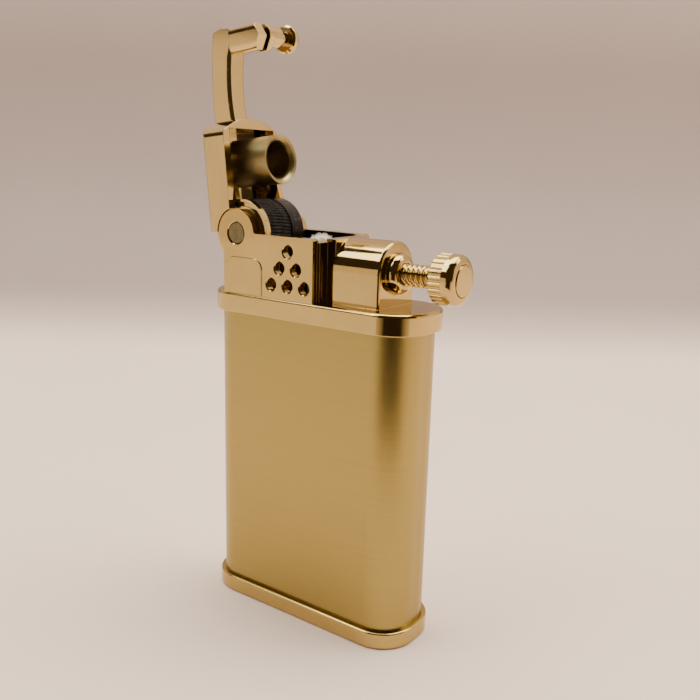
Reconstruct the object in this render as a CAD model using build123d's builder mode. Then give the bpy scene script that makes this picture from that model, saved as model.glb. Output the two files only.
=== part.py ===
"""Lift-arm petrol lighter: brass case, cast top frame, snuffer arm, striker wheel and thumb screw.

Millimetres, +Z up. The origin is the middle of the underside, +X points to the thumb screw and
+Y to the back. The arm is modelled open, leaning a little past upright on its back stop.
"""
import os
from math import cos, pi, radians, sin, sqrt

from build123d import *

# ---------------------------------------------------------------- driving dimensions
# Case and its two end caps
CASE_LENGTH = 36.0
CASE_DEPTH = 12.14
CASE_CORNER = 5.0
CASE_WALL = 0.6
BASE_OVERHANG = 0.78
BASE_HEIGHT = 2.6
BASE_FLOOR = 1.6
FLANGE_OVERHANG = 1.0
FLANGE_BOTTOM = 47.4
FLANGE_TOP = 50.5
SLEEVE_ENGAGEMENT = 1.8
SPIGOT_DEPTH = 1.5
SPIGOT_WALL = 1.0

# Top frame: side plates, ears, neck and block
PLATE_OUTER = 6.9
PLATE_THICKNESS = 1.2
PLATE_LEFT = -14.2
PLATE_RIGHT = 3.0
PLATE_TOP = 59.65
PIVOT_X = -11.75
PIVOT_Z = 59.5
EAR_RADIUS = 3.55
BACK_EAR_RADIUS = 2.6
AXLE_RADIUS = 1.62
BACK_WALL_TOP = 53.8
BACK_WALL_THICKNESS = 1.0
PANEL_RELIEF = 0.15
PANEL_RIGHT = -6.5
PANEL_TOP = 56.0
VENT_RADIUS = 0.92
VENT_PITCH_X = 3.1
VENT_PITCH_Z = 2.52
VENT_CENTRE_X = -1.65
VENT_TOP_Z = 57.5
NECK_LEFT = 3.3
NECK_HALF_WIDTH = 4.1
WEB_THICKNESS = 0.9
BLOCK_LEFT = 4.5
BLOCK_LENGTH = 8.25
BLOCK_RADIUS = 4.55
SCREW_Z = 55.2
BLOCK_BORE_RADIUS = 3.05
BLOCK_BORE_DEPTH = 7.2

# Lift arm, in its own side view: along the arm from the pivot, and outwards from the pivot
ARM_LEAN = 6.0
COVER_BACK = 5.4
COVER_START = 0.3
COVER_SHOULDER = 14.9
COVER_END = 17.1
COVER_RIM = 0.9
COVER_SHOULDER_HEIGHT = 5.1
COVER_CREST = 7.8
COVER_EDGE_RADIUS = 0.8
COVER_ROOF = 1.0
COVER_END_WALL = 1.6
LUG_THICKNESS = 1.0
LUG_REACH = 7.0
FRONT_LUG_RADIUS = 5.0
LUG_GROOVE_INNER = 3.95
LUG_GROOVE_OUTER = 4.6
LUG_GROOVE_DEPTH = 0.4
LEVER_HALF_WIDTH = 1.75
LEVER_ROOT = 15.5
LEVER_EDGE_RADIUS = 0.6
LEVER_OUTER = ((LEVER_ROOT, 7.7), (23.5, 7.6), (30.2, 6.75))
LEVER_TIP = (30.7, 4.6)
LEVER_INNER = ((30.3, 2.2), (23.0, 3.65), (LEVER_ROOT, 3.2))
FORK_CENTRE = 28.7
FORK_HALF_HEIGHT = 1.9
FORK_HALF_WIDTH = 1.95
FORK_CORNER = 1.1
FORK_TIP = -3.1
FORK_SLOT = 0.9
FORK_SLOT_DEPTH = 2.2
FORK_BEVEL = 1.35
FORK_BOSS_RADIUS = 1.5
FORK_BOSS_END = 3.9
FORK_BOSS_OFFSET = (0.4, 1.6)
ARM_KNOB_RADIUS = 2.15
ARM_KNOB_THICKNESS = 1.5
ARM_KNOB_NECK = 1.8
SNUFFER_CENTRE = 10.57
SNUFFER_MOUTH = -4.1
SNUFFER_RADIUS = 3.65
SNUFFER_BORE = 2.75
SNUFFER_FLARE = 0.6
SNUFFER_TOP = 5.2
SNUFFER_CROWN = 0.8
SNUFFER_RIVET_RADIUS = 1.2
RIVET_LENGTH = 2.0
KNOB_STEM_RADIUS = 0.8
KNOB_STEM_DEPTH = 1.6
EAR_CLEARANCE = 0.25
LEAF_FACE = 4.9
LEAF_THICKNESS = 0.3

# Pawl, in the arm's side view
PAWL_PIVOT = (6.6, 3.0)
PAWL_PIN_RADIUS = 0.55
PAWL_PIN_END = 5.25
PAWL_TIP = (3.6, 2.9)
PAWL_BACK = (3.7, 3.7)
PAWL_SPRING_END = (7.6, 4.6)
PAWL_SPRING_THICKNESS = 0.2

# Wheels on the pivot axle
WHEEL_RADIUS = 5.0
WHEEL_WIDTH = 4.7
WHEEL_TEETH = 48
WHEEL_TOOTH_DEPTH = 0.2
DRUM_GAP = 0.12
DRUM_WIDTH = 2.9
RATCHET_RADIUS = 4.5
RATCHET_WIDTH = 0.75
RATCHET_TEETH = 16
RATCHET_TOOTH_DEPTH = 0.55
BUSH_RADIUS = 2.35

# Wick and flint
WICK_X = -0.85
WICK_RADIUS = 1.55
WICK_TUFT_RADIUS = 1.7
WICK_TOP = 60.35
WICK_BOTTOM = 24.0
WICK_TUBE_WALL = 0.35
WICK_TUBE_TOP = 57.6
FLINT_RADIUS = 1.2
FLINT_Y = -1.5
FLINT_LENGTH = 4.5
FLINT_TUBE_WALL = 0.5
FLINT_SCREW_LENGTH = 9.5
SPRING_WIRE = 0.17
SPRING_TURNS = 14

# Filler plug and screws in the base
FILLER_X = 7.0
FILLER_HEAD_RADIUS = 3.4
FILLER_THREAD_RADIUS = 2.6
FILLER_DEPTH = 4.8
HEAD_RECESS = 0.25
HEAD_THICKNESS = 0.8
GASKET_THICKNESS = 0.5
SLOT_WIDTH = 0.8
SLOT_DEPTH = 0.45
FRAME_SCREW_RADIUS = 0.8
FRAME_SCREW_PLACES = (-5.6, 9.0)

# Thumb screw
SPINDLE_RADIUS = 1.6
SPINDLE_START = 6.0
KNOB_LEFT = 19.5
KNOB_LENGTH = 3.8
KNOB_RADIUS = 3.55
KNOB_FLUTES = 26
KNOB_FLUTE_LENGTH = 2.1
KNOB_FLUTE_RADIUS = 0.32
KNOB_HUB_DEPTH = 1.6
KNOB_FACE_RECESS = 0.35
KNOB_CAP_RADIUS = 2.2
GLAND_RADIUS = 2.9
GLAND_PROUD = 1.55
GLAND_THREAD_LENGTH = 1.5
PACKING_WIDTH = 0.75
PACKING_LENGTH = 0.8

# Clearances
SEAT_GAP = 0.02
RUNNING_GAP = 0.05
SIDE_GAP = 0.1
SOFT_GAP = 0.3

# ---------------------------------------------------------------- derived places
lean = radians(ARM_LEAN)
along_arm = (-sin(lean), 0, cos(lean))
out_of_arm = (-cos(lean), 0, -sin(lean))
pivot = (PIVOT_X, 0, PIVOT_Z)
arm_side = Plane(origin=pivot, x_dir=along_arm, z_dir=(0, -1, 0))
arm_plan = Plane(origin=pivot, x_dir=along_arm, z_dir=out_of_arm)
arm_section = Plane(origin=pivot, x_dir=(0, 1, 0), z_dir=along_arm)
axle_plane = Plane(origin=pivot, x_dir=(1, 0, 0), z_dir=(0, 1, 0))
screw_plane = Plane(origin=(0, 0, SCREW_Z), x_dir=(0, 1, 0), z_dir=(1, 0, 0))

plate_inner = PLATE_OUTER - PLATE_THICKNESS
lug_outer = plate_inner - SIDE_GAP
lug_inner = lug_outer - LUG_THICKNESS
wheel_front = SIDE_GAP - lug_inner
wheel_back = wheel_front + WHEEL_WIDTH
drum_front = wheel_back + DRUM_GAP
ratchet_front = drum_front + DRUM_WIDTH + SEAT_GAP
ratchet_back = ratchet_front + RATCHET_WIDTH
back_lug_inner = COVER_BACK - LUG_THICKNESS
cover_middle = (COVER_BACK - PLATE_OUTER) / 2
boss_centre = (FORK_CENTRE + FORK_BOSS_OFFSET[0], FORK_TIP + FORK_BOSS_OFFSET[1])
sleeve_bottom = BASE_FLOOR
sleeve_top = FLANGE_BOTTOM + SLEEVE_ENGAGEMENT
tank_plate_top = FLANGE_BOTTOM - SPIGOT_DEPTH
tank_plate_thickness = 0.8
tank_plate_bottom = tank_plate_top - tank_plate_thickness
block_right = BLOCK_LEFT + BLOCK_LENGTH
flint_tube_radius = FLINT_RADIUS + RUNNING_GAP + FLINT_TUBE_WALL
flint_top = PIVOT_Z - WHEEL_RADIUS - SIDE_GAP
flint_tube_top = flint_top - 0.35
wick_tube_bore = WICK_RADIUS + RUNNING_GAP
wick_tube_radius = wick_tube_bore + WICK_TUBE_WALL
gland_start = block_right - GLAND_THREAD_LENGTH
head_top = HEAD_RECESS + HEAD_THICKNESS

os.makedirs("parts", exist_ok=True)


def finish(piece, name):
    """Label a finished piece and write it out under its own name."""
    piece.part.label = name
    export_step(piece.part, "parts/" + name + ".step")


def case_outline(grow):
    """The case's outline seen from above, larger all round by grow, in the current sketch."""
    RectangleRounded(CASE_LENGTH + 2 * grow, CASE_DEPTH + 2 * grow, CASE_CORNER + grow)


def toothed_ring(teeth, outer, inner, lean_share):
    """Corner points of a toothed disc; lean_share is how far round its pitch each tip sits."""
    points = []
    for tooth in range(teeth):
        root = 2 * pi * tooth / teeth
        tip = root + 2 * pi * lean_share / teeth
        points.append((inner * cos(root), inner * sin(root)))
        points.append((outer * cos(tip), outer * sin(tip)))
    return points


# ---------------------------------------------------------------- case
with BuildPart() as case_sleeve:
    with BuildSketch(Plane.XY.offset(sleeve_bottom)):
        case_outline(0)
    extrude(amount=sleeve_top - sleeve_bottom)
    with BuildSketch(Plane.XY.offset(sleeve_bottom)):
        case_outline(-CASE_WALL)
    extrude(amount=sleeve_top - sleeve_bottom, mode=Mode.SUBTRACT)
finish(case_sleeve, "case_sleeve")

with BuildPart() as base_cap:
    with BuildSketch():
        case_outline(BASE_OVERHANG)
    extrude(amount=BASE_HEIGHT)
    fillet(base_cap.faces().sort_by(Axis.Z)[0].edges(), 0.35)
    fillet(base_cap.faces().sort_by(Axis.Z)[-1].edges(), 0.3)
    with BuildSketch(Plane.XY.offset(BASE_FLOOR)):
        case_outline(SEAT_GAP)
    extrude(amount=BASE_HEIGHT, mode=Mode.SUBTRACT)
    with Locations((FILLER_X, 0, BASE_FLOOR)):
        Cylinder(FILLER_THREAD_RADIUS + 1.3, FILLER_DEPTH - BASE_FLOOR,
                 align=(Align.CENTER, Align.CENTER, Align.MIN))
    with Locations((PIVOT_X, FLINT_Y, BASE_FLOOR)):
        Cylinder(flint_tube_radius + 0.9, 1.6, align=(Align.CENTER, Align.CENTER, Align.MIN))
    with Locations((FILLER_X, 0, 0)):
        Cylinder(FILLER_HEAD_RADIUS + SIDE_GAP, head_top + GASKET_THICKNESS,
                 align=(Align.CENTER, Align.CENTER, Align.MIN), mode=Mode.SUBTRACT)
        Cylinder(FILLER_THREAD_RADIUS + RUNNING_GAP, FILLER_DEPTH,
                 align=(Align.CENTER, Align.CENTER, Align.MIN), mode=Mode.SUBTRACT)
    with Locations((PIVOT_X, FLINT_Y, 0)):
        Cylinder(flint_tube_radius + SEAT_GAP, FILLER_DEPTH,
                 align=(Align.CENTER, Align.CENTER, Align.MIN), mode=Mode.SUBTRACT)
        Cylinder(flint_tube_radius + 0.55, head_top,
                 align=(Align.CENTER, Align.CENTER, Align.MIN), mode=Mode.SUBTRACT)
finish(base_cap, "base_cap")


def slotted_head(radius):
    """A round screw head in the base with a straight slot, in the current part."""
    Cylinder(radius, HEAD_THICKNESS, align=(Align.CENTER, Align.CENTER, Align.MIN))
    Box(2 * radius, SLOT_WIDTH, SLOT_DEPTH, align=(Align.CENTER, Align.CENTER, Align.MIN),
        mode=Mode.SUBTRACT)


with BuildPart() as filler_plug:
    with Locations((FILLER_X, 0, HEAD_RECESS)):
        slotted_head(FILLER_HEAD_RADIUS)
    with Locations((FILLER_X, 0, head_top)):
        Cylinder(FILLER_THREAD_RADIUS, FILLER_DEPTH - head_top,
                 align=(Align.CENTER, Align.CENTER, Align.MIN))
finish(filler_plug, "filler_plug")

with BuildPart() as filler_gasket:
    with BuildSketch(Plane.XY.offset(head_top)):
        with Locations((FILLER_X, 0)):
            Circle(FILLER_HEAD_RADIUS)
            Circle(FILLER_THREAD_RADIUS + SIDE_GAP, mode=Mode.SUBTRACT)
    extrude(amount=GASKET_THICKNESS)
finish(filler_gasket, "filler_gasket")

# ---------------------------------------------------------------- flint column
with BuildPart() as flint_tube:
    with BuildSketch(Plane.XY.offset(head_top)):
        with Locations((PIVOT_X, FLINT_Y)):
            Circle(flint_tube_radius)
            Circle(flint_tube_radius - FLINT_TUBE_WALL, mode=Mode.SUBTRACT)
    extrude(amount=flint_tube_top - head_top)
finish(flint_tube, "flint_tube")

with BuildPart() as flint_screw:
    with Locations((PIVOT_X, FLINT_Y, HEAD_RECESS)):
        slotted_head(flint_tube_radius + 0.45)
    with Locations((PIVOT_X, FLINT_Y, head_top)):
        Cylinder(FLINT_RADIUS, FLINT_SCREW_LENGTH - head_top,
                 align=(Align.CENTER, Align.CENTER, Align.MIN))
finish(flint_screw, "flint_screw")

flint_bottom = flint_top - FLINT_LENGTH
follower_height = 1.3
spring_bottom = FLINT_SCREW_LENGTH + SPRING_WIRE + SEAT_GAP
spring_top = flint_bottom - follower_height - SPRING_WIRE - SEAT_GAP
spring_radius = FLINT_RADIUS - SPRING_WIRE - RUNNING_GAP

with BuildPart() as flint:
    with Locations((PIVOT_X, FLINT_Y, flint_bottom)):
        Cylinder(FLINT_RADIUS, FLINT_LENGTH, align=(Align.CENTER, Align.CENTER, Align.MIN))
finish(flint, "flint")

with BuildPart() as flint_follower:
    with Locations((PIVOT_X, FLINT_Y, flint_bottom)):
        Cylinder(FLINT_RADIUS, follower_height, align=(Align.CENTER, Align.CENTER, Align.MAX))
    with Locations((PIVOT_X, FLINT_Y, flint_bottom - follower_height)):
        Cylinder(spring_radius - SPRING_WIRE - RUNNING_GAP, 3.0,
                 align=(Align.CENTER, Align.CENTER, Align.MAX))
finish(flint_follower, "flint_follower")

spring_height = spring_top - spring_bottom
spring_foot = Plane(origin=(PIVOT_X, FLINT_Y, spring_bottom))
with BuildPart() as flint_spring:
    with BuildLine(spring_foot):
        coil = Helix(pitch=spring_height / SPRING_TURNS, height=spring_height, radius=spring_radius)
    with BuildSketch(Plane(origin=coil @ 0, z_dir=coil % 0)):
        Circle(SPRING_WIRE)
    sweep(path=coil, is_frenet=True)
finish(flint_spring, "flint_spring")

# ---------------------------------------------------------------- top frame
frame_screw_hole = FRAME_SCREW_RADIUS + SEAT_GAP
with BuildPart() as top_frame:
    # Flange that caps the case, with a groove for the sleeve and a spigot inside it
    with BuildSketch(Plane.XY.offset(FLANGE_BOTTOM)):
        case_outline(FLANGE_OVERHANG)
    extrude(amount=FLANGE_TOP - FLANGE_BOTTOM)
    fillet(top_frame.faces().sort_by(Axis.Z)[-1].edges(), 0.5)
    fillet(top_frame.faces().sort_by(Axis.Z)[0].edges(), 0.2)
    with BuildSketch(Plane.XY.offset(FLANGE_BOTTOM)):
        case_outline(SEAT_GAP)
    extrude(amount=SLEEVE_ENGAGEMENT, mode=Mode.SUBTRACT)
    with BuildSketch(Plane.XY.offset(tank_plate_top)):
        case_outline(-CASE_WALL - SEAT_GAP)
    extrude(amount=sleeve_top - tank_plate_top)
    # Arched block that carries the thumb screw, with softened ends
    with BuildSketch(screw_plane.offset(BLOCK_LEFT)):
        Circle(BLOCK_RADIUS)
        Rectangle(2 * BLOCK_RADIUS, SCREW_Z - FLANGE_TOP + 0.2, align=(Align.CENTER, Align.MAX))
    extrude(amount=BLOCK_LENGTH)
    arch_ends = top_frame.edges().filter_by(GeomType.CIRCLE).filter_by(
        lambda edge: abs(edge.radius - BLOCK_RADIUS) < 0.01)
    side_ends = top_frame.edges().filter_by(Axis.Z).filter_by(
        lambda edge: abs(abs(edge.center().Y) - BLOCK_RADIUS) < 0.01)
    fillet(arch_ends + side_ends, 0.4)
    # Side plates with their pivot ears, a large one in front (side 1) and a smaller one behind,
    # and the notch where each ear meets the plate's top edge
    for side, ear_radius in ((1, EAR_RADIUS), (-1, BACK_EAR_RADIUS)):
        notch_x = PIVOT_X + sqrt(ear_radius ** 2 - (PLATE_TOP - PIVOT_Z) ** 2)
        with BuildSketch(Plane.XZ.offset(side * plate_inner)):
            with BuildLine():
                Polyline((PLATE_LEFT, FLANGE_TOP - 0.2), (PLATE_RIGHT, FLANGE_TOP - 0.2),
                         (PLATE_RIGHT, PLATE_TOP), (PLATE_LEFT, PLATE_TOP), close=True)
            make_face()
            with Locations((PIVOT_X, PIVOT_Z)):
                Circle(ear_radius)
            notch = vertices().filter_by_position(Axis.X, notch_x - 0.1, notch_x + 0.1)
            fillet(notch, 0.35)
            corner = vertices().filter_by_position(Axis.X, PLATE_RIGHT - 0.1, PLATE_RIGHT + 0.1)
            fillet(corner.sort_by(Axis.Y)[-1], 0.3)
        extrude(amount=side * PLATE_THICKNESS)
        # Shallow raised panel on the plate's lower left
        with BuildSketch(Plane.XZ.offset(side * PLATE_OUTER)):
            with BuildLine():
                Polyline((PLATE_LEFT + 0.4, FLANGE_TOP), (PANEL_RIGHT, FLANGE_TOP),
                         (PANEL_RIGHT, PANEL_TOP), (PLATE_LEFT + 0.4, PANEL_TOP), close=True)
            make_face()
            fillet(vertices().group_by(Axis.Y)[-1], 1.6)
        extrude(amount=side * PANEL_RELIEF, taper=20)
    # Neck behind the plates and low wall under the wheels' outer side
    neck_depth = 2 * NECK_HALF_WIDTH
    with Locations((NECK_LEFT, 0, FLANGE_TOP - 0.2)):
        Box(BLOCK_LEFT - NECK_LEFT + 0.5, neck_depth, PLATE_TOP - FLANGE_TOP + 0.2,
            align=(Align.MIN, Align.CENTER, Align.MIN))
    with Locations((PLATE_LEFT, 0, FLANGE_TOP - 0.2)):
        Box(BACK_WALL_THICKNESS, 2 * plate_inner, BACK_WALL_TOP - FLANGE_TOP + 0.2,
            align=(Align.MIN, Align.CENTER, Align.MIN))
    # Webs that tie the plates' right ends to the neck
    web_left = PLATE_RIGHT - WEB_THICKNESS
    for side in (-1, 1):
        with Locations((web_left, side * (NECK_HALF_WIDTH + plate_inner) / 2, FLANGE_TOP - 0.2)):
            Box(NECK_LEFT + 0.2 - web_left, plate_inner - NECK_HALF_WIDTH + 0.4,
                PLATE_TOP - 0.3 - FLANGE_TOP, align=(Align.MIN, Align.CENTER, Align.MIN))
    with BuildSketch(screw_plane.offset(block_right)):
        Circle(BLOCK_BORE_RADIUS)
    extrude(amount=-BLOCK_BORE_DEPTH, mode=Mode.SUBTRACT)
    # Axle holes, vent holes, wick and flint holes, and the blind holes for the frame screws
    with BuildSketch(Plane.XZ.offset(PLATE_OUTER + 1)):
        with Locations((PIVOT_X, PIVOT_Z)):
            Circle(AXLE_RADIUS + SEAT_GAP)
        for row in range(3):
            for place in range(row + 1):
                vent_x = VENT_CENTRE_X + (place - row / 2) * VENT_PITCH_X
                with Locations((vent_x, VENT_TOP_Z - row * VENT_PITCH_Z)):
                    Circle(VENT_RADIUS)
    extrude(amount=-2 * (PLATE_OUTER + 1), mode=Mode.SUBTRACT)
    rims = top_frame.edges().filter_by(GeomType.CIRCLE).filter_by(
        lambda edge: abs(abs(edge.center().Y) - PLATE_OUTER) < 0.01
        and (abs(edge.radius - VENT_RADIUS) < 0.01 or abs(edge.radius - AXLE_RADIUS - SEAT_GAP) < 0.01))
    chamfer(rims, 0.16)
    with Locations((PIVOT_X, FLINT_Y, tank_plate_top)):
        Cylinder(flint_tube_radius + SEAT_GAP, flint_tube_top - tank_plate_top,
                 align=(Align.CENTER, Align.CENTER, Align.MIN), mode=Mode.SUBTRACT)
    with Locations((WICK_X, 0, tank_plate_top)):
        Cylinder(wick_tube_radius + SEAT_GAP, FLANGE_TOP - tank_plate_top + 1,
                 align=(Align.CENTER, Align.CENTER, Align.MIN), mode=Mode.SUBTRACT)
    for place in FRAME_SCREW_PLACES:
        with Locations((place, 0, tank_plate_top)):
            Cylinder(frame_screw_hole, 3.0, align=(Align.CENTER, Align.CENTER, Align.MIN),
                     mode=Mode.SUBTRACT)
finish(top_frame, "top_frame")

with BuildPart() as tank_plate:
    with BuildSketch(Plane.XY.offset(tank_plate_bottom)):
        case_outline(-CASE_WALL - SEAT_GAP)
        with Locations((PIVOT_X, FLINT_Y)):
            Circle(flint_tube_radius + SEAT_GAP, mode=Mode.SUBTRACT)
        with Locations((WICK_X, 0)):
            Circle(wick_tube_radius + SEAT_GAP, mode=Mode.SUBTRACT)
        for place in FRAME_SCREW_PLACES:
            with Locations((place, 0)):
                Circle(frame_screw_hole, mode=Mode.SUBTRACT)
    extrude(amount=tank_plate_thickness)
finish(tank_plate, "tank_plate")

with BuildPart() as frame_screws:
    for place in FRAME_SCREW_PLACES:
        with Locations((place, 0, tank_plate_bottom)):
            Cylinder(2 * FRAME_SCREW_RADIUS, 0.8, align=(Align.CENTER, Align.CENTER, Align.MAX))
            Cylinder(FRAME_SCREW_RADIUS, tank_plate_thickness + 2.8,
                     align=(Align.CENTER, Align.CENTER, Align.MIN))
finish(frame_screws, "frame_screws")

# ---------------------------------------------------------------- wick and wadding
with BuildPart() as wick_tube:
    with BuildSketch(Plane.XY.offset(tank_plate_bottom - 1.0)):
        with Locations((WICK_X, 0)):
            Circle(wick_tube_radius)
            Circle(wick_tube_bore, mode=Mode.SUBTRACT)
    extrude(amount=WICK_TUBE_TOP - tank_plate_bottom + 1.0)
finish(wick_tube, "wick_tube")

with BuildPart() as wick:
    with Locations((WICK_X, 0, WICK_BOTTOM)):
        Cylinder(WICK_RADIUS, WICK_TUBE_TOP + 0.6 - WICK_BOTTOM,
                 align=(Align.CENTER, Align.CENTER, Align.MIN))
    with Locations((WICK_X, 0, WICK_TUBE_TOP + 0.4)):
        Cylinder(WICK_TUFT_RADIUS, WICK_TOP - WICK_TUBE_TOP - 0.4,
                 align=(Align.CENTER, Align.CENTER, Align.MIN))
    fillet(wick.faces().sort_by(Axis.Z)[-1].edges(), 0.9)
finish(wick, "wick")

with BuildPart() as cotton_wadding:
    with BuildSketch(Plane.XY.offset(FILLER_DEPTH + SOFT_GAP)):
        case_outline(-CASE_WALL - SOFT_GAP)
        with Locations((PIVOT_X, FLINT_Y)):
            Circle(flint_tube_radius + SOFT_GAP, mode=Mode.SUBTRACT)
    extrude(amount=tank_plate_bottom - 1.0 - 2 * SOFT_GAP - FILLER_DEPTH)
    with Locations((WICK_X, 0, WICK_BOTTOM - SOFT_GAP)):
        Cylinder(WICK_RADIUS + SOFT_GAP, tank_plate_bottom - WICK_BOTTOM,
                 align=(Align.CENTER, Align.CENTER, Align.MIN), mode=Mode.SUBTRACT)
finish(cotton_wadding, "cotton_wadding")

# ---------------------------------------------------------------- lift arm
# Lever from the cover's end to the tip, with rounded long edges; it is joined to the cover below
with BuildPart() as lever:
    with BuildSketch(arm_side.offset(-LEVER_HALF_WIDTH)):
        with BuildLine():
            ThreePointArc(*LEVER_OUTER)
            Line(LEVER_OUTER[-1], LEVER_TIP)
            Line(LEVER_TIP, LEVER_INNER[0])
            ThreePointArc(*LEVER_INNER)
            Line(LEVER_INNER[-1], LEVER_OUTER[0])
        make_face()
    extrude(amount=2 * LEVER_HALF_WIDTH)
    long_edges = lever.faces().filter_by(Axis.Y).edges().filter_by(GeomType.CIRCLE)
    fillet(long_edges, LEVER_EDGE_RADIUS)

with BuildPart() as lift_arm:
    # Cover: an arched shell, open towards the wick, with a bowed end
    with BuildSketch(arm_plan.offset(COVER_RIM)):
        with BuildLine():
            Line((COVER_START, -PLATE_OUTER), (COVER_SHOULDER, -PLATE_OUTER))
            ThreePointArc((COVER_SHOULDER, -PLATE_OUTER), (COVER_END, cover_middle),
                          (COVER_SHOULDER, COVER_BACK))
            Line((COVER_SHOULDER, COVER_BACK), (COVER_START, COVER_BACK))
            Line((COVER_START, COVER_BACK), (COVER_START, -PLATE_OUTER))
        make_face()
        fillet(vertices().sort_by(Axis.X)[2:], 1.2)
    extrude(amount=COVER_CREST)
    with BuildSketch(arm_section):
        with BuildLine():
            ThreePointArc((-PLATE_OUTER, COVER_SHOULDER_HEIGHT), (cover_middle, COVER_CREST),
                          (COVER_BACK, COVER_SHOULDER_HEIGHT))
            Polyline((COVER_BACK, COVER_SHOULDER_HEIGHT), (COVER_BACK, 0), (-PLATE_OUTER, 0),
                     (-PLATE_OUTER, COVER_SHOULDER_HEIGHT))
        make_face()
        fillet(vertices().group_by(Axis.Y)[-1], COVER_EDGE_RADIUS)
    extrude(amount=COVER_END + 1, mode=Mode.INTERSECT)
    inner_shoulder = COVER_SHOULDER_HEIGHT - 0.1
    with BuildSketch(arm_section.offset(-1)):
        with BuildLine():
            ThreePointArc((-lug_outer, inner_shoulder), (cover_middle, COVER_CREST - COVER_ROOF),
                          (back_lug_inner, inner_shoulder))
            Polyline((back_lug_inner, inner_shoulder), (back_lug_inner, 0), (-lug_outer, 0),
                     (-lug_outer, inner_shoulder))
        make_face()
    extrude(amount=COVER_END - COVER_END_WALL + 1, mode=Mode.SUBTRACT)
    # Lugs that hang on the axle: one inside the front wall, one in line with the back wall
    for lug_front, lug_radius in ((-lug_outer, FRONT_LUG_RADIUS), (back_lug_inner, BACK_EAR_RADIUS)):
        with BuildSketch(arm_side.offset(-lug_front)):
            Circle(lug_radius)
            with BuildLine():
                Polyline((0, BACK_EAR_RADIUS), (COVER_START, COVER_SHOULDER_HEIGHT),
                         (LUG_REACH, COVER_SHOULDER_HEIGHT), (LUG_REACH, COVER_RIM), (BACK_EAR_RADIUS, 0),
                         close=True)
            make_face()
        extrude(amount=-LUG_THICKNESS)
    # Shallow ring groove in the front lug's outer face
    with BuildSketch(arm_side.offset(lug_outer)):
        Circle(LUG_GROOVE_OUTER)
        Circle(LUG_GROOVE_INNER, mode=Mode.SUBTRACT)
    extrude(amount=-LUG_GROOVE_DEPTH, mode=Mode.SUBTRACT)
    # The front wall is cut back round the frame's ear
    with BuildSketch(arm_side.offset(lug_outer)):
        Circle(EAR_RADIUS + EAR_CLEARANCE)
    extrude(amount=2 * PLATE_THICKNESS, mode=Mode.SUBTRACT)
    add(lever.part)
    # Tip: a rounded bar with a forked, pointed end, and a round boss behind it
    with BuildSketch(arm_plan.offset(FORK_TIP)):
        with Locations((FORK_CENTRE, 0)):
            Rectangle(2 * FORK_HALF_HEIGHT, 2 * FORK_HALF_WIDTH)
        fillet(vertices(), FORK_CORNER)
    extrude(amount=LEVER_INNER[0][1] + 0.8 - FORK_TIP)
    for turn in (-1, 1):
        bevel_end = FORK_CENTRE + turn * (FORK_HALF_HEIGHT + 0.5)
        with BuildSketch(arm_side.offset(-FORK_HALF_WIDTH - 1)):
            Polygon((FORK_CENTRE, FORK_TIP), (bevel_end, FORK_TIP + FORK_BEVEL), (bevel_end, FORK_TIP - 1),
                    (FORK_CENTRE, FORK_TIP - 1), align=None)
        extrude(amount=2 * FORK_HALF_WIDTH + 2, mode=Mode.SUBTRACT)
    with BuildSketch(arm_side.offset(-FORK_BOSS_END)):
        with Locations(boss_centre):
            Circle(FORK_BOSS_RADIUS)
    extrude(amount=FORK_BOSS_END)
    with BuildSketch(arm_side.offset(-0.35 - FORK_SLOT / 2)):
        with Locations((FORK_CENTRE, FORK_TIP)):
            Rectangle(3 * FORK_HALF_HEIGHT, 2 * FORK_SLOT_DEPTH)
    extrude(amount=FORK_SLOT, mode=Mode.SUBTRACT)
    # Thin guide leaf inside the cover's end
    with BuildSketch(arm_side.offset(LEAF_FACE - LEAF_THICKNESS)):
        with Locations((COVER_SHOULDER - 0.2, COVER_RIM + 1.6)):
            Rectangle(2.6, 2.0)
    extrude(amount=LEAF_THICKNESS)
    # Holes for the axle, the pawl pin, the snuffer's rivet and the knob's stem
    with BuildSketch(arm_side.offset(-PLATE_OUTER - 1)):
        Circle(AXLE_RADIUS + RUNNING_GAP)
    extrude(amount=2 * PLATE_OUTER + 2, mode=Mode.SUBTRACT)
    with BuildSketch(arm_side.offset(-PAWL_PIN_END)):
        with Locations(PAWL_PIVOT):
            Circle(PAWL_PIN_RADIUS + SEAT_GAP)
    extrude(amount=PAWL_PIN_END - ratchet_front, mode=Mode.SUBTRACT)
    with BuildSketch(arm_plan.offset(SNUFFER_TOP)):
        with Locations((SNUFFER_CENTRE, 0)):
            Circle(SNUFFER_RIVET_RADIUS + SEAT_GAP)
    extrude(amount=RIVET_LENGTH + SEAT_GAP, mode=Mode.SUBTRACT)
    with BuildSketch(arm_side.offset(-FORK_BOSS_END)):
        with Locations(boss_centre):
            Circle(KNOB_STEM_RADIUS + SEAT_GAP)
    extrude(amount=KNOB_STEM_DEPTH + SEAT_GAP, mode=Mode.SUBTRACT)
finish(lift_arm, "lift_arm")

with BuildPart() as arm_knob:
    neck_plane = arm_side.offset(-FORK_BOSS_END)
    with BuildSketch(neck_plane):
        with Locations(boss_centre):
            Circle(KNOB_STEM_RADIUS)
    extrude(amount=KNOB_STEM_DEPTH)
    with BuildSketch(neck_plane):
        with Locations(boss_centre):
            Circle(KNOB_STEM_RADIUS + 0.25)
    extrude(amount=-ARM_KNOB_NECK)
    with BuildSketch(arm_side.offset(-FORK_BOSS_END - ARM_KNOB_NECK)):
        with Locations(boss_centre):
            Circle(ARM_KNOB_RADIUS)
    extrude(amount=-ARM_KNOB_THICKNESS)
    fillet(arm_knob.faces().sort_by(Axis.Y)[-1].edges(), 0.7)
    head_back = arm_knob.edges().filter_by(GeomType.CIRCLE).filter_by(
        lambda edge: abs(edge.radius - ARM_KNOB_RADIUS) < 0.01)
    chamfer(head_back.sort_by(Axis.Y)[0], 0.3)
finish(arm_knob, "arm_knob")

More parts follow.
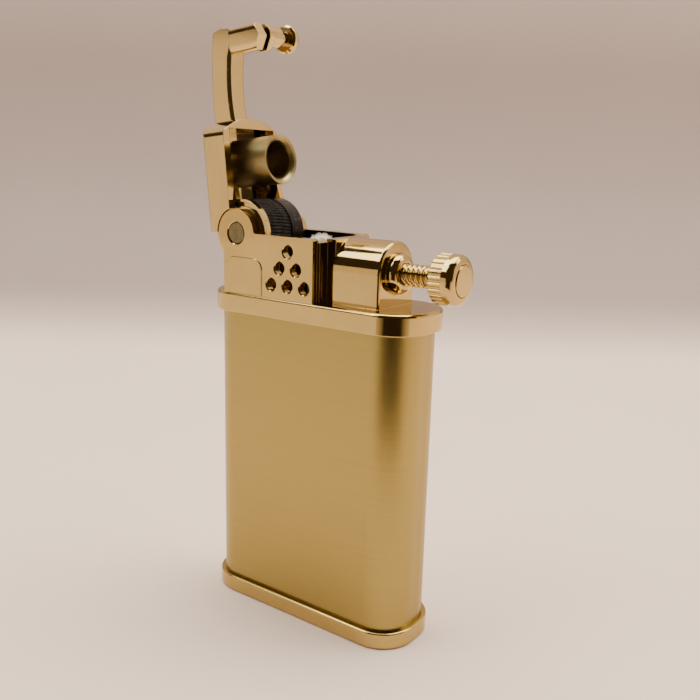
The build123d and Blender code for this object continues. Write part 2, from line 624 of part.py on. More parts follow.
with BuildPart() as snuffer_cup:
    with BuildSketch(arm_plan.offset(SNUFFER_MOUTH)):
        with Locations((SNUFFER_CENTRE, 0)):
            Circle(SNUFFER_RADIUS)
    extrude(amount=SNUFFER_TOP - SNUFFER_MOUTH)
    with BuildSketch(arm_plan.offset(SNUFFER_MOUTH)):
        with Locations((SNUFFER_CENTRE, 0)):
            Circle(SNUFFER_BORE)
    extrude(amount=SNUFFER_TOP - SNUFFER_MOUTH - SNUFFER_CROWN, mode=Mode.SUBTRACT)
    chamfer(snuffer_cup.faces().sort_by(Axis.X)[-1].inner_wires()[0].edges(), SNUFFER_FLARE)
    chamfer(snuffer_cup.faces().sort_by(Axis.X)[-1].outer_wire().edges(), 0.2)
    with BuildSketch(arm_plan.offset(SNUFFER_TOP)):
        with Locations((SNUFFER_CENTRE, 0)):
            Circle(SNUFFER_RIVET_RADIUS)
    extrude(amount=RIVET_LENGTH)
finish(snuffer_cup, "snuffer_cup")

with BuildPart() as snuffer_pad:
    with BuildSketch(arm_plan.offset(SNUFFER_TOP - SNUFFER_CROWN - SEAT_GAP)):
        with Locations((SNUFFER_CENTRE, 0)):
            Circle(SNUFFER_BORE - SIDE_GAP)
    extrude(amount=-1.0)
finish(snuffer_pad, "snuffer_pad")

with BuildPart() as pawl_pin:
    with BuildSketch(arm_side.offset(-PAWL_PIN_END)):
        with Locations(PAWL_PIVOT):
            Circle(PAWL_PIN_RADIUS)
    extrude(amount=PAWL_PIN_END - ratchet_front)
finish(pawl_pin, "pawl_pin")

# The pawl reaches from its pin to a tooth of the ratchet, and its leaf spring lies on its back
with BuildPart() as pawl:
    with BuildSketch(arm_side.offset(-ratchet_front)):
        Polygon(PAWL_PIVOT, (PAWL_PIVOT[0] + 0.2, PAWL_PIVOT[1] + 0.9), PAWL_BACK, PAWL_TIP,
                (PAWL_PIVOT[0] - 0.4, PAWL_PIVOT[1] - 1.0), align=None)
        with Locations(PAWL_PIVOT):
            Circle(2 * PAWL_PIN_RADIUS)
            Circle(PAWL_PIN_RADIUS + SEAT_GAP, mode=Mode.SUBTRACT)
    extrude(amount=-RATCHET_WIDTH)
finish(pawl, "pawl")

with BuildPart() as pawl_spring:
    with BuildSketch(arm_side.offset(-ratchet_front)):
        Polygon((PAWL_BACK[0], PAWL_BACK[1] + SEAT_GAP),
                (PAWL_BACK[0], PAWL_BACK[1] + SEAT_GAP + PAWL_SPRING_THICKNESS),
                (PAWL_SPRING_END[0], PAWL_SPRING_END[1] + PAWL_SPRING_THICKNESS), PAWL_SPRING_END,
                align=None)
    extrude(amount=-RATCHET_WIDTH)
finish(pawl_spring, "pawl_spring")

# ---------------------------------------------------------------- wheels and axle
with BuildPart() as pivot_axle:
    axle_half = PLATE_OUTER - 0.12
    with BuildSketch(axle_plane.offset(-axle_half)):
        Circle(AXLE_RADIUS)
    extrude(amount=2 * axle_half)
    chamfer(pivot_axle.edges().filter_by(GeomType.CIRCLE), 0.15)
finish(pivot_axle, "pivot_axle")


def wheel_disc(start, width, radius, bore, edge_chamfer=0):
    """A plain disc round the pivot axle, from start towards the back, as its own part."""
    with BuildPart() as disc:
        with BuildSketch(axle_plane.offset(start)):
            Circle(radius)
            Circle(bore, mode=Mode.SUBTRACT)
        extrude(amount=width)
        if edge_chamfer:
            rims = disc.edges().filter_by(GeomType.CIRCLE).group_by(SortBy.RADIUS)[-1]
            chamfer(rims, edge_chamfer)
    return disc


bush_bore = AXLE_RADIUS + RUNNING_GAP
bush_fit = BUSH_RADIUS + SEAT_GAP

with BuildPart() as striker_wheel:
    with BuildSketch(axle_plane.offset(wheel_front)):
        Polygon(*toothed_ring(WHEEL_TEETH, WHEEL_RADIUS, WHEEL_RADIUS - WHEEL_TOOTH_DEPTH, 0.5), align=None)
        Circle(bush_fit, mode=Mode.SUBTRACT)
    extrude(amount=WHEEL_WIDTH)
finish(striker_wheel, "striker_wheel")

wheel_drum = wheel_disc(drum_front, DRUM_WIDTH, WHEEL_RADIUS, bush_fit, 0.15)
finish(wheel_drum, "wheel_drum")

with BuildPart() as ratchet_wheel:
    with BuildSketch(axle_plane.offset(ratchet_front)):
        Polygon(*toothed_ring(RATCHET_TEETH, RATCHET_RADIUS, RATCHET_RADIUS - RATCHET_TOOTH_DEPTH, 0.92),
                align=None)
        Circle(bush_fit, mode=Mode.SUBTRACT)
    extrude(amount=RATCHET_WIDTH)
finish(ratchet_wheel, "ratchet_wheel")

wheel_bush = wheel_disc(wheel_front, ratchet_back - wheel_front, BUSH_RADIUS, bush_bore)
finish(wheel_bush, "wheel_bush")

spacer_width = back_lug_inner - ratchet_back - 2 * SIDE_GAP
axle_spacer = wheel_disc(ratchet_back + SIDE_GAP, spacer_width, BUSH_RADIUS + 0.4, bush_bore)
finish(axle_spacer, "axle_spacer")

# ---------------------------------------------------------------- thumb screw in its block
with BuildPart() as gland_nut:
    with BuildSketch(screw_plane.offset(gland_start)):
        Circle(BLOCK_BORE_RADIUS - SEAT_GAP)
    extrude(amount=block_right - gland_start)
    with BuildSketch(screw_plane.offset(block_right)):
        Circle(GLAND_RADIUS)
    extrude(amount=GLAND_PROUD)
    fillet(gland_nut.faces().sort_by(Axis.X)[-1].edges(), 1.0)
    with BuildSketch(screw_plane.offset(gland_start)):
        Circle(SPINDLE_RADIUS + RUNNING_GAP)
    extrude(amount=2 * GLAND_PROUD + 2, mode=Mode.SUBTRACT)
    with BuildSketch(screw_plane.offset(gland_start)):
        Circle(SPINDLE_RADIUS + PACKING_WIDTH)
    extrude(amount=PACKING_LENGTH, mode=Mode.SUBTRACT)
finish(gland_nut, "gland_nut")

with BuildPart() as gland_packing:
    with BuildSketch(screw_plane.offset(gland_start)):
        Circle(SPINDLE_RADIUS + PACKING_WIDTH - SEAT_GAP)
        Circle(SPINDLE_RADIUS + RUNNING_GAP, mode=Mode.SUBTRACT)
    extrude(amount=PACKING_LENGTH - SEAT_GAP)
finish(gland_packing, "gland_packing")

with BuildPart() as spindle:
    with BuildSketch(screw_plane.offset(SPINDLE_START)):
        Circle(SPINDLE_RADIUS)
    extrude(amount=KNOB_LEFT + KNOB_HUB_DEPTH - SPINDLE_START)
    with BuildSketch(screw_plane.offset(SPINDLE_START)):
        Circle(SPINDLE_RADIUS + 0.6)
    extrude(amount=0.6)
finish(spindle, "spindle")

with BuildPart() as spindle_collar:
    with BuildSketch(screw_plane.offset(SPINDLE_START + 0.65)):
        Circle(BLOCK_BORE_RADIUS - RUNNING_GAP)
        Circle(SPINDLE_RADIUS + RUNNING_GAP, mode=Mode.SUBTRACT)
    extrude(amount=1.1)
finish(spindle_collar, "spindle_collar")

with BuildPart() as thumb_knob:
    with BuildSketch(screw_plane.offset(KNOB_LEFT)):
        Circle(KNOB_RADIUS)
    extrude(amount=KNOB_LENGTH)
    fillet(thumb_knob.faces().sort_by(Axis.X)[-1].edges(), 1.0)
    chamfer(thumb_knob.faces().sort_by(Axis.X)[0].edges(), 0.3)
    with BuildSketch(screw_plane.offset(KNOB_LEFT)):
        with PolarLocations(KNOB_RADIUS + 0.1, KNOB_FLUTES):
            Circle(KNOB_FLUTE_RADIUS)
    extrude(amount=KNOB_FLUTE_LENGTH, mode=Mode.SUBTRACT)
    with BuildSketch(screw_plane.offset(KNOB_LEFT)):
        Circle(SPINDLE_RADIUS + SEAT_GAP)
    extrude(amount=KNOB_HUB_DEPTH, mode=Mode.SUBTRACT)
    with BuildSketch(screw_plane.offset(KNOB_LEFT + KNOB_LENGTH - KNOB_FACE_RECESS)):
        Circle(KNOB_CAP_RADIUS + 0.12)
    extrude(amount=1, mode=Mode.SUBTRACT)
finish(thumb_knob, "thumb_knob")

with BuildPart() as knob_cap:
    with BuildSketch(screw_plane.offset(KNOB_LEFT + KNOB_LENGTH - KNOB_FACE_RECESS)):
        Circle(KNOB_CAP_RADIUS)
    extrude(amount=0.5)
    fillet(knob_cap.faces().sort_by(Axis.X)[-1].edges(), 0.15)
finish(knob_cap, "knob_cap")
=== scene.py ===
"""Looks for the lift-arm petrol lighter: brushed brass case, polished gold-tone frame and arm."""
import math
import random

import bpy
from mathutils import Matrix, Vector


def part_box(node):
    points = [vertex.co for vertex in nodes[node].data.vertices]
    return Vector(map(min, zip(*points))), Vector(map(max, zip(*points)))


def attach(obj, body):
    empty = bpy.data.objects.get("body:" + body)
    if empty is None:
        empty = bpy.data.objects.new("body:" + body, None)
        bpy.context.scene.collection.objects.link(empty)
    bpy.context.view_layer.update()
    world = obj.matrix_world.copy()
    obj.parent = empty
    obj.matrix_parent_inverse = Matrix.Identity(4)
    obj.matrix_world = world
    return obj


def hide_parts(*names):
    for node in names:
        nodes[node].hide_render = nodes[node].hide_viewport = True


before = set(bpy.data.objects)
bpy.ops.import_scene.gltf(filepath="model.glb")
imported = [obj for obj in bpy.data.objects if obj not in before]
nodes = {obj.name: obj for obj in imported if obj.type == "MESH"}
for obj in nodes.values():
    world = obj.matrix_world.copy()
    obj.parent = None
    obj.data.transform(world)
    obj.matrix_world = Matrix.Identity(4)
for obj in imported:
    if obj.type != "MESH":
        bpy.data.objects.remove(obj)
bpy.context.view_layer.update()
rng = random.Random(7)



def middle(node):
    """The middle of a CAD node's box at rest."""
    low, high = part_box(node)
    return (Vector(low) + Vector(high)) / 2


PIVOT = middle("pivot_axle")

DUST_COLOUR = (0.10, 0.06, 0.025)
EDGE_WEAR_RADIUS = 0.00011


# ---------------------------------------------------------------- materials
class Nodes:
    """A material and short calls for adding nodes to it."""

    def __init__(self, name):
        self.material = bpy.data.materials.new(name)
        self.material.use_nodes = True
        self.tree = self.material.node_tree
        self.shader = self.tree.nodes["Principled BSDF"]
        self.coords = self.tree.nodes.new("ShaderNodeTexCoord").outputs["Object"]
        self.bump = None

    def set(self, **values):
        for name, value in values.items():
            self.shader.inputs[name.replace("_", " ")].default_value = value
        return self

    def link(self, source, target):
        self.tree.links.new(source, target)

    def stretched(self, scale, turn=(0, 0, 0)):
        """The object's own coordinates, stretched by scale."""
        node = self.tree.nodes.new("ShaderNodeMapping")
        node.inputs["Scale"].default_value = scale
        node.inputs["Rotation"].default_value = turn
        self.link(self.coords, node.inputs["Vector"])
        return node.outputs["Vector"]

    def noise(self, scale, detail=3.0, roughness=0.55, stretch=(1, 1, 1), distortion=0.0):
        node = self.tree.nodes.new("ShaderNodeTexNoise")
        node.inputs["Scale"].default_value = scale
        node.inputs["Detail"].default_value = detail
        node.inputs["Roughness"].default_value = roughness
        node.inputs["Distortion"].default_value = distortion
        self.link(self.stretched(stretch), node.inputs["Vector"])
        return node.outputs["Fac"]

    def cells(self, scale, stretch=(1, 1, 1)):
        node = self.tree.nodes.new("ShaderNodeTexVoronoi")
        node.inputs["Scale"].default_value = scale
        self.link(self.stretched(stretch), node.inputs["Vector"])
        return node.outputs["Distance"]

    def ramp(self, source, *stops):
        node = self.tree.nodes.new("ShaderNodeValToRGB")
        band = node.color_ramp
        while len(band.elements) < len(stops):
            band.elements.new(0.5)
        for element, (place, colour) in zip(band.elements, stops):
            element.position = place
            element.color = (*colour, 1) if isinstance(colour, tuple) else (colour, colour, colour, 1)
        self.link(source, node.inputs["Fac"])
        return node.outputs["Color"]

    def mix(self, factor, first, second, kind="MIX"):
        node = self.tree.nodes.new("ShaderNodeMix")
        node.data_type = "RGBA"
        node.blend_type = kind
        if hasattr(factor, "is_linked"):
            self.link(factor, node.inputs[0])
        else:
            node.inputs[0].default_value = factor
        for socket, value in ((node.inputs[6], first), (node.inputs[7], second)):
            if hasattr(value, "is_linked"):
                self.link(value, socket)
            elif isinstance(value, tuple):
                socket.default_value = (*value, 1)
            else:
                socket.default_value = (value, value, value, 1)
        return node.outputs[2]

    def relief(self, height, distance, strength=1.0):
        """Adds a layer of bump on top of any there is."""
        node = self.tree.nodes.new("ShaderNodeBump")
        node.inputs["Distance"].default_value = distance
        node.inputs["Strength"].default_value = strength
        self.link(height, node.inputs["Height"])
        if self.bump:
            self.link(self.bump, node.inputs["Normal"])
        self.bump = node.outputs["Normal"]
        self.link(self.bump, self.shader.inputs["Normal"])

    def soften_edges(self, radius):
        """Rounds the look of the edges by this radius, below any later relief."""
        node = self.tree.nodes.new("ShaderNodeBevel")
        node.samples = 4
        node.inputs["Radius"].default_value = radius
        self.bump = node.outputs["Normal"]

    def smooth_step(self, source, low, high):
        """0 below low, 1 above high, and a smooth rise between."""
        node = self.tree.nodes.new("ShaderNodeMapRange")
        node.interpolation_type = "SMOOTHSTEP"
        node.inputs["From Min"].default_value = low
        node.inputs["From Max"].default_value = high
        self.link(source, node.inputs["Value"])
        return node.outputs["Result"]

    def colour(self, source):
        self.link(source, self.shader.inputs["Base Color"])

    def rough(self, source):
        self.link(source, self.shader.inputs["Roughness"])


def polished(name, light, dark, rough_low, rough_high, dust=0.5):
    """Polished plating: faint smears, hairline scratches and a few dust-filled pits."""
    m = Nodes(name).set(Metallic=1.0)
    smears = m.noise(160, 4, 0.6, distortion=0.6)
    specks = m.ramp(m.cells(1500), (0.035, 1.0), (0.075, 0.0))
    sparse = m.ramp(m.noise(420, 2), (0.63, 0.0), (0.69, 1.0))
    pits = m.mix(sparse, 0.0, specks)
    plain = m.mix(m.ramp(smears, (0.3, 0.0), (0.75, 1.0)), dark, light)
    m.colour(m.mix(m.mix(dust, 0.0, pits), plain, DUST_COLOUR))
    m.soften_edges(EDGE_WEAR_RADIUS)
    hairs = m.noise(900, 2, 0.5, stretch=(1.0, 1.0, 9.0))
    m.rough(m.mix(m.ramp(smears, (0.35, 0.0), (0.8, 1.0)), rough_low, rough_high))
    m.relief(m.noise(110, 1), 0.00002, 0.35)
    m.relief(hairs, 0.0000012, 0.25)
    m.relief(pits, 0.00001, -0.3)
    return m.material


def brushed_case():
    """Satin brass, brushed level round the case, with a slight cloudiness in the lacquer."""
    m = Nodes("satin_brass_case").set(Metallic=1.0, Anisotropic=0.55)
    fine = m.noise(1.0, 3, 0.7, stretch=(45, 45, 15000))
    coarse = m.noise(1.0, 3, 0.7, stretch=(20, 20, 5600))
    cloud = m.noise(55, 3, 0.5)
    streaks = m.mix(0.4, fine, coarse)
    base = m.mix(m.ramp(streaks, (0.30, 0.0), (0.70, 1.0)), (0.335, 0.255, 0.074), (0.405, 0.312, 0.098))
    m.colour(m.mix(m.ramp(cloud, (0.35, 0.0), (0.75, 0.30)), base, (0.345, 0.268, 0.088)))
    m.rough(m.mix(m.ramp(streaks, (0.3, 0.0), (0.7, 1.0)), 0.27, 0.36))
    m.relief(coarse, 0.000012, 0.20)
    m.relief(fine, 0.000010, 0.30)
    tangent = m.tree.nodes.new("ShaderNodeTangent")
    tangent.direction_type = "RADIAL"
    tangent.axis = "Z"
    m.link(tangent.outputs["Tangent"], m.shader.inputs["Tangent"])
    return m.material


def turned(name, light, dark, rough_low, rough_high):
    """Plain turned or rolled metal with a satin grain."""
    m = Nodes(name).set(Metallic=1.0)
    grain = m.noise(1400, 3, 0.65, stretch=(0.25, 1.0, 1.0))
    stain = m.noise(230, 3, 0.6, distortion=0.4)
    m.colour(m.mix(m.ramp(stain, (0.32, 0.0), (0.72, 1.0)), dark, light))
    m.rough(m.mix(m.ramp(grain, (0.3, 0.0), (0.7, 1.0)), rough_low, rough_high))
    m.relief(grain, 0.000008, 0.3)
    return m.material


def blackened():
    """Black oxide with steel showing on worn ridges."""
    m = Nodes("blackened_steel").set(Metallic=0.85)
    wear = m.noise(900, 4, 0.7)
    m.colour(m.mix(m.ramp(wear, (0.58, 0.0), (0.74, 1.0)), (0.014, 0.013, 0.011), (0.10, 0.095, 0.08)))
    m.rough(m.mix(m.ramp(wear, (0.3, 0.0), (0.7, 1.0)), 0.26, 0.46))
    m.relief(m.noise(2600, 3, 0.7), 0.000012, 0.4)
    return m.material


def cotton():
    m = Nodes("cotton").set(Sheen_Weight=0.4)
    strands = m.noise(2200, 3, 0.6, stretch=(1, 1, 0.12))
    m.colour(m.mix(m.ramp(strands, (0.3, 0.0), (0.7, 1.0)), (0.83, 0.72, 0.54), (0.96, 0.90, 0.76)))
    m.rough(m.ramp(strands, (0.2, 0.82), (0.8, 0.95)))
    m.relief(strands, 0.00006, 0.6)
    return m.material


def soft(name, light, dark, scale, rough_low, rough_high):
    """Felt or rubber: fine even grain."""
    m = Nodes(name)
    grain = m.noise(scale, 4, 0.7)
    m.colour(m.mix(m.ramp(grain, (0.3, 0.0), (0.7, 1.0)), dark, light))
    m.rough(m.ramp(grain, (0.2, rough_low), (0.8, rough_high)))
    m.relief(grain, 0.00003, 0.5)
    return m.material


gold = polished("polished_brass", (0.535, 0.395, 0.142), (0.475, 0.345, 0.118), 0.055, 0.13)
# A lighter copy of the same polished brass for the lift arm and its knob: the extra lightness is painted
# light, standing in for the brighter reflection the arm catches.
gold_arm_lit_copy = polished("polished_brass_arm_painted_light", (0.615, 0.470, 0.195), (0.555, 0.415, 0.168), 0.06, 0.14)
gold_satin = polished("polished_brass_soft", (0.50, 0.37, 0.135), (0.44, 0.32, 0.112), 0.12, 0.22)
case_brass = brushed_case()
cup_brass = turned("satin_brass_cup", (0.40, 0.315, 0.140), (0.30, 0.232, 0.096), 0.32, 0.46)
plain_brass = turned("satin_brass", (0.56, 0.41, 0.16), (0.44, 0.31, 0.11), 0.26, 0.42)
steel = turned("plain_steel", (0.200, 0.172, 0.088), (0.115, 0.096, 0.046), 0.20, 0.32)
spring_steel = turned("spring_steel", (0.44, 0.44, 0.43), (0.30, 0.30, 0.29), 0.22, 0.36)
black = blackened()
cotton_white = cotton()
felt = soft("felt", (0.56, 0.50, 0.42), (0.34, 0.30, 0.24), 2600, 0.86, 0.97)
rubber = soft("nitrile", (0.045, 0.045, 0.045), (0.025, 0.025, 0.025), 1800, 0.50, 0.68)
flint_grey = turned("flint_alloy", (0.26, 0.25, 0.24), (0.17, 0.165, 0.16), 0.45, 0.62)

FINISHES = {
    gold: ("top_frame", "base_cap", "gland_nut", "spindle", "thumb_knob", "knob_cap"),
    # The lift arm and its knob take the lighter copy, whose extra lightness is painted light.
    gold_arm_lit_copy: ("lift_arm", "arm_knob"),
    gold_satin: ("axle_spacer",),
    case_brass: ("case_sleeve",),
    cup_brass: ("snuffer_cup",),
    plain_brass: ("tank_plate", "wick_tube", "flint_tube", "flint_follower", "wheel_bush", "spindle_collar",
                  "filler_plug", "flint_screw"),
    steel: ("frame_screws", "pivot_axle", "pawl_pin", "pawl", "ratchet_wheel"),
    spring_steel: ("flint_spring", "pawl_spring"),
    black: ("striker_wheel", "wheel_drum"),
    cotton_white: ("wick", "cotton_wadding"),
    felt: ("snuffer_pad",),
    rubber: ("filler_gasket", "gland_packing"),
    flint_grey: ("flint",),
}


def paint(obj, material):
    """The one material for every slot of a piece."""
    if obj.data.materials:
        for place in range(len(obj.data.materials)):
            obj.data.materials[place] = material
    else:
        obj.data.materials.append(material)


for finish, names in FINISHES.items():
    for name in names:
        paint(nodes[name], finish)


# ---------------------------------------------------------------- detail pieces
def piece(name, vertices, faces, material, smooth=True):
    """A mesh piece made of these points and faces."""
    mesh = bpy.data.meshes.new(name)
    mesh.from_pydata([tuple(v) for v in vertices], [], faces)
    mesh.validate()
    mesh.update()
    for polygon in mesh.polygons:
        polygon.use_smooth = smooth
    obj = bpy.data.objects.new(name, mesh)
    bpy.context.scene.collection.objects.link(obj)
    obj.data.materials.append(material)
    return obj


def lathe_faces(rows, columns, first=0):
    """Quads that join rows of points, each row closed on itself."""
    faces = []
    for row in range(rows - 1):
        for column in range(columns):
            after = (column + 1) % columns
            faces.append((first + row * columns + column, first + row * columns + after,
                          first + (row + 1) * columns + after, first + (row + 1) * columns + column))
    return faces


def threaded_spindle():
    """The thumb screw's rod with a right-hand thread, its inner flange and its plain end."""
    columns, steps = 64, 160
    pitch, crest, root, flange, flange_length = 0.0008, 0.0016, 0.00122, 0.0022, 0.0006
    steepness, root_flat = 1.9, 0.35
    low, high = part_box("spindle")
    start, end = low[0], high[0]
    thread_from, thread_to = start + 0.00065, end - 0.0017
    axis_height = middle("spindle").z
    rows = [(start, 0.0, False), (start, flange, False), (start + flange_length, flange, False),
            (start + flange_length, root, False)]
    for step in range(steps + 1):
        rows.append((thread_from + (thread_to - thread_from) * step / steps, 0.0, True))
    rows += [(thread_to, crest, False), (end, crest, False), (end, 0.0, False)]
    points = []
    for x, radius, threaded in rows:
        for column in range(columns):
            angle = 2 * math.pi * column / columns
            here = radius
            if threaded:
                turn = (x / pitch - column / columns) % 1.0
                rise = max(0.0, min(1.0, steepness * (1 - abs(2 * turn - 1)) - root_flat))
                here = root + (crest - root) * rise
            points.append((x, here * math.cos(angle), axis_height + here * math.sin(angle)))
    return piece("threaded_spindle", points, lathe_faces(len(rows), columns), gold)


def cut_wheel():
    """The striker wheel's file-cut rim: two crossing sets of fine V cuts."""
    columns, steps, cuts = 480, 24, 60
    first_lean, second_lean = 0.8, -3.2
    outer, bore, depth, rim_drop = 0.0050, 0.00237, 0.00019, 0.00005
    low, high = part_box("striker_wheel")
    front, back = low[1], high[1]
    rows = [(front, bore, 0), (front, outer - depth, 0)]
    for step in range(steps + 1):
        rows.append((front + (back - front) * step / steps, outer, 1))
    rows += [(back, outer - depth, 0), (back, bore, 0), (front, bore, 0)]
    points = []
    for y, radius, cut in rows:
        for column in range(columns):
            round_share = column / columns
            here = radius
            if cut:
                along = (y - front) / (back - front)
                one = abs(2 * ((cuts * round_share + first_lean * along) % 1.0) - 1)
                two = abs(2 * ((cuts * round_share + second_lean * along) % 1.0) - 1)
                # The second set is narrower and shallower than the first
                here = outer - depth * max(1 - 1.6 * one, 0.8 * (1 - 2.4 * two), 0.0)
                here -= rim_drop * (abs(2 * along - 1) ** 12)
            angle = 2 * math.pi * round_share
            points.append((PIVOT.x + here * math.cos(angle), y, PIVOT.z + here * math.sin(angle)))
    return piece("cut_wheel", points, lathe_faces(len(rows), columns), black, smooth=False)


def tube_along(path, radii, sides, points, faces):
    """Adds a thin closed tube through the path's points."""
    first = len(points)
    for place, centre in enumerate(path):
        ahead = path[min(place + 1, len(path) - 1)] - path[max(place - 1, 0)]
        side = ahead.cross(Vector((0.31, 0.87, 0.13))).normalized()
        other = ahead.cross(side).normalized()
        for corner in range(sides):
            angle = 2 * math.pi * corner / sides
            points.append(centre + radii[place] * (side * math.cos(angle) + other * math.sin(angle)))
    faces += lathe_faces(len(path), sides, first)
    faces.append(tuple(first + corner for corner in reversed(range(sides))))
    last = first + (len(path) - 1) * sides
    faces.append(tuple(last + corner for corner in range(sides)))


def wick_tuft():
    """The wick: a round cotton core with a mop of loose fibres at its top."""
    columns, strands, bends = 40, 520, 5
    core, spread, thickness = 0.00142, 0.00162, 0.000055
    low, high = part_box("wick")
    x, foot_height, crown = middle("wick").x, low[2], high[2] - 0.00255
    rows = [(foot_height, 0.0), (foot_height, 0.00152), (crown, 0.00154), (crown + 0.0005, 0.00152),
            (crown + 0.0011, 0.00140), (crown + 0.0015, 0.00110), (crown + 0.0017, 0.00060),
            (crown + 0.00175, 0.0)]
    points, faces = [], []
    for z, radius in rows:
        for column in range(columns):
            angle = 2 * math.pi * column / columns
            here = radius * (1 + 0.03 * math.sin(9 * angle))
            points.append(Vector((x + here * math.cos(angle), here * math.sin(angle), z)))
    faces += lathe_faces(len(rows), columns)
    for _ in range(strands):
        angle = rng.uniform(0, 2 * math.pi)
        foot = core * math.sqrt(rng.uniform(0.0, 1.0))
        lean = rng.gauss(0, 0.5)
        rise = 0.00095 + rng.uniform(0.0, 0.0013) * (1 - 0.45 * (foot / core) ** 2)
        reach = min(foot + rng.uniform(0.0, 0.00045), spread)
        path, radii = [], []
        for step in range(bends + 1):
            share = step / bends
            out = foot + (reach - foot) * share ** 1.5
            turn = angle + lean * share
            path.append(Vector((x + out * math.cos(turn), out * math.sin(turn), crown + rise * share)))
            radii.append(thickness * (1 - 0.6 * share))
        tube_along(path, radii, 4, points, faces)
    return piece("wick_tuft", points, faces, cotton_white)


for build, node, body, slot in ((threaded_spindle, "spindle", "thumb_screw", "polished_brass"),
                                (cut_wheel, "striker_wheel", "wheel", "blackened_steel"),
                                (wick_tuft, "wick", "case", "cotton")):
    made = build()
    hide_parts(node)
    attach(made, body)


# ---------------------------------------------------------------- stage
def plain(name, colour, roughness):
    """Matt card with a faint mottle."""
    m = Nodes(name).set(Specular_IOR_Level=0.25)
    mottle = m.noise(14, 3, 0.5)
    darker = tuple(c * 0.965 for c in colour)
    m.colour(m.mix(m.ramp(mottle, (0.3, 0.0), (0.7, 1.0)), darker, colour))
    m.rough(m.ramp(mottle, (0.3, roughness - 0.06), (0.7, roughness)))
    return m.material


CAMERA_PLACE = Vector((0.07373, -0.096734, 0.070447))
YAW, PITCH, ROLL = 0.618, 0.228, 0.027
away = Vector((-math.sin(YAW), math.cos(YAW), 0))
across = Vector((math.cos(YAW), math.sin(YAW), 0))
up = Vector((0, 0, 1))

card_white = plain("white_card", (0.84, 0.75, 0.68), 0.7)
# The two wall colours are painted shade on the same paper as the floor: darkest at the wall's foot, lighter
# higher up.
FLOOR_COLOUR, WALL_SHADE_LOW, WALL_SHADE_HIGH = (0.95, 0.785, 0.660), (0.40, 0.320, 0.278), (0.78, 0.655, 0.575)


def fade_to_shaded_backdrop(near, far):
    """The floor's paper turns gradually into the darker backdrop between two distances behind the object;
    the backdrop's darkness is painted shade, deepest at the wall's foot and lighter higher up.
    """
    m = Nodes("sweep_paper").set(Specular_IOR_Level=0.25)
    node = m.tree.nodes.new("ShaderNodeVectorMath")
    node.operation = "DOT_PRODUCT"
    m.link(m.coords, node.inputs[0])
    node.inputs[1].default_value = away + up
    height = m.tree.nodes.new("ShaderNodeSeparateXYZ")
    m.link(m.coords, height.inputs[0])
    mottle = m.ramp(m.noise(14, 3, 0.5), (0.3, 0.965), (0.7, 1.0))
    # Painted shade: the backdrop is darker near its foot and lighter towards its top.
    wall = m.mix(m.smooth_step(height.outputs["Z"], 0.06, 0.26), WALL_SHADE_LOW, WALL_SHADE_HIGH)
    floor_and_painted_shade = m.mix(m.smooth_step(node.outputs["Value"], near, far), FLOOR_COLOUR, wall)
    m.colour(m.mix(1.0, floor_and_painted_shade, mottle, "MULTIPLY"))
    m.rough(m.ramp(m.noise(30, 2), (0.3, 0.58), (0.7, 0.66)))
    return m.material


def paper_sweep():
    """A floor that curves up behind the object into a plain backdrop."""
    half, reach, bend, wall_top, steps = 1.6, 0.20, 0.12, 1.4, 16
    profile = [(-half, 0.0), (-0.1, 0.0), (0.0, 0.0), (reach, 0.0)]
    for step in range(1, steps + 1):
        angle = math.pi / 2 * step / steps
        profile.append((reach + bend * math.sin(angle), bend * (1 - math.cos(angle))))
    profile.append((reach + bend, wall_top))
    points, faces = [], []
    for forward, height in profile:
        for side in (-half, half):
            points.append(away * forward + across * side + up * height)
    for row in range(len(profile) - 1):
        faces.append((2 * row, 2 * row + 1, 2 * row + 3, 2 * row + 2))
    piece("paper_sweep", points, faces, fade_to_shaded_backdrop(0.165, 0.27))


def level_direction(degrees):
    """A level direction, counted from +X towards +Y."""
    return Vector((math.cos(math.radians(degrees)), math.sin(math.radians(degrees)), 0))


def shaded_card():
    """Pale at both ends of its arc and dark in the middle, as the shade of whoever stands at the camera."""
    m = Nodes("shaded_card").set(Specular_IOR_Level=0.1)
    node = m.tree.nodes.new("ShaderNodeTexGradient")
    node.gradient_type = "RADIAL"
    m.link(m.coords, node.inputs["Vector"])
    m.colour(m.ramp(node.outputs["Fac"], (0.225, (0.62, 0.50, 0.40)), (0.285, (0.020, 0.012, 0.008)),
                    (0.405, (0.020, 0.012, 0.008)), (0.465, (0.62, 0.50, 0.40))))
    m.rough(m.ramp(m.noise(20, 2), (0.3, 0.8), (0.7, 0.9)))
    return m.material


def arc_strip(name, from_degrees, to_degrees, steps, edges, material):
    """A strip on an arc round the object that only reflections see, between two (distance, height) pairs."""
    points, faces = [], []
    for step in range(steps + 1):
        heading = level_direction(from_degrees + (to_degrees - from_degrees) * step / steps)
        points += [heading * distance + up * height for distance, height in edges]
    for step in range(steps):
        faces.append((2 * step, 2 * step + 1, 2 * step + 3, 2 * step + 2))
    obj = piece(name, points, faces, material)
    obj.visible_camera = False
    obj.visible_shadow = False
    return obj


arc_strip("front_left_card", 170, 262, 8, ((0.62, 0.0), (0.62, 0.175)), card_white)
arc_strip("right_card", 12, 72, 8, ((0.55, 0.0), (0.55, 0.32)), card_white)
arc_strip("front_left_floor", 170, 264, 12, ((0.16, 0.0006), (0.62, 0.0006)), card_white)
arc_strip("front_right_shade", 261, 348, 12, ((0.105, 0.0008), (2.2, 0.0008)), shaded_card())
paper_sweep()


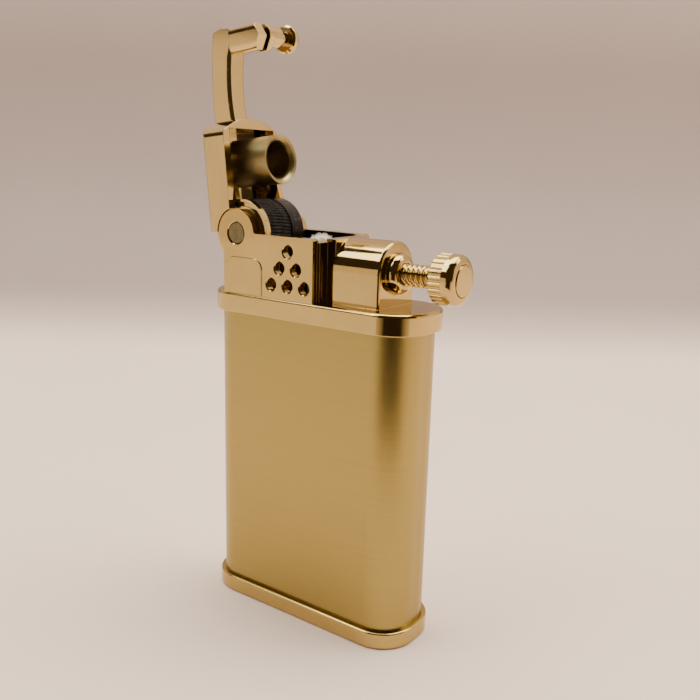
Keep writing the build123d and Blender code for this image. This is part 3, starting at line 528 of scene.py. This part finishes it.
def glowing_far_wall():
    """A plain wall all round, which only the camera sees. Its brightness is painted light: it glows in the
    backdrop's low shade colour rather than being lit by the lamps.
    """
    # Painted light: the wall glows in the backdrop's low shade colour.
    m = Nodes("glowing_far_wall").set(Emission_Strength=0.9, Specular_IOR_Level=0.0)
    m.shader.inputs["Emission Color"].default_value = (*WALL_SHADE_LOW, 1)
    m.colour(m.ramp(m.noise(14, 3, 0.5), (0.3, (0.04, 0.033, 0.029)), (0.7, (0.05, 0.041, 0.036))))
    wall = arc_strip("glowing_far_wall", 130, 490, 8, ((1.55, -0.05), (1.55, 3.0)), m.material)
    wall.visible_camera = True
    wall.visible_diffuse = wall.visible_glossy = wall.visible_transmission = False


glowing_far_wall()


LAMP_TARGET = Vector((0, 0, 0.03))


def lamp(name, place, width, height, watts, colour):
    """A soft rectangular lamp that faces the middle of the object."""
    light = bpy.data.lights.new(name, "AREA")
    light.shape = "RECTANGLE"
    light.size, light.size_y = width, height
    light.energy, light.color = watts, colour
    obj = bpy.data.objects.new(name, light)
    obj.location = place
    obj.rotation_euler = (LAMP_TARGET - place).to_track_quat("-Z", "Y").to_euler()
    bpy.context.scene.collection.objects.link(obj)
    obj.visible_camera = False


lamp("overhead_soft", up * 0.75 + away * 0.24 + across * 0.06, 0.95, 0.75, 17.5, (1.0, 0.94, 0.87))
lamp("left_soft", -across * 0.70 - away * 0.12 + up * 0.88, 0.45, 0.50, 4.8, (1.0, 0.93, 0.86))
lamp("right_soft", away * 0.05 + across * 0.80 + up * 0.65, 0.35, 0.45, 2.6, (1.0, 0.94, 0.88))

world = bpy.data.worlds.new("room")
world.use_nodes = True
world.node_tree.nodes["Background"].inputs["Color"].default_value = (0.22, 0.155, 0.11, 1)
world.node_tree.nodes["Background"].inputs["Strength"].default_value = 0.30
bpy.context.scene.world = world

# ---------------------------------------------------------------- camera
camera_data = bpy.data.cameras.new("camera")
camera_data.sensor_width = 36.0
camera_data.lens = 41.83
camera_data.clip_start = 0.005
camera = bpy.data.objects.new("camera", camera_data)
forward = Vector((-math.sin(YAW) * math.cos(PITCH), math.cos(YAW) * math.cos(PITCH), -math.sin(PITCH)))
level = Vector((math.cos(YAW), math.sin(YAW), 0))
raised = level.cross(forward)
right = level * math.cos(ROLL) + raised * math.sin(ROLL)
top = raised * math.cos(ROLL) - level * math.sin(ROLL)
turn = Matrix((right, top, -forward)).transposed().to_4x4()
camera.matrix_world = Matrix.Translation(CAMERA_PLACE) @ turn
bpy.context.scene.collection.objects.link(camera)
bpy.context.scene.camera = camera
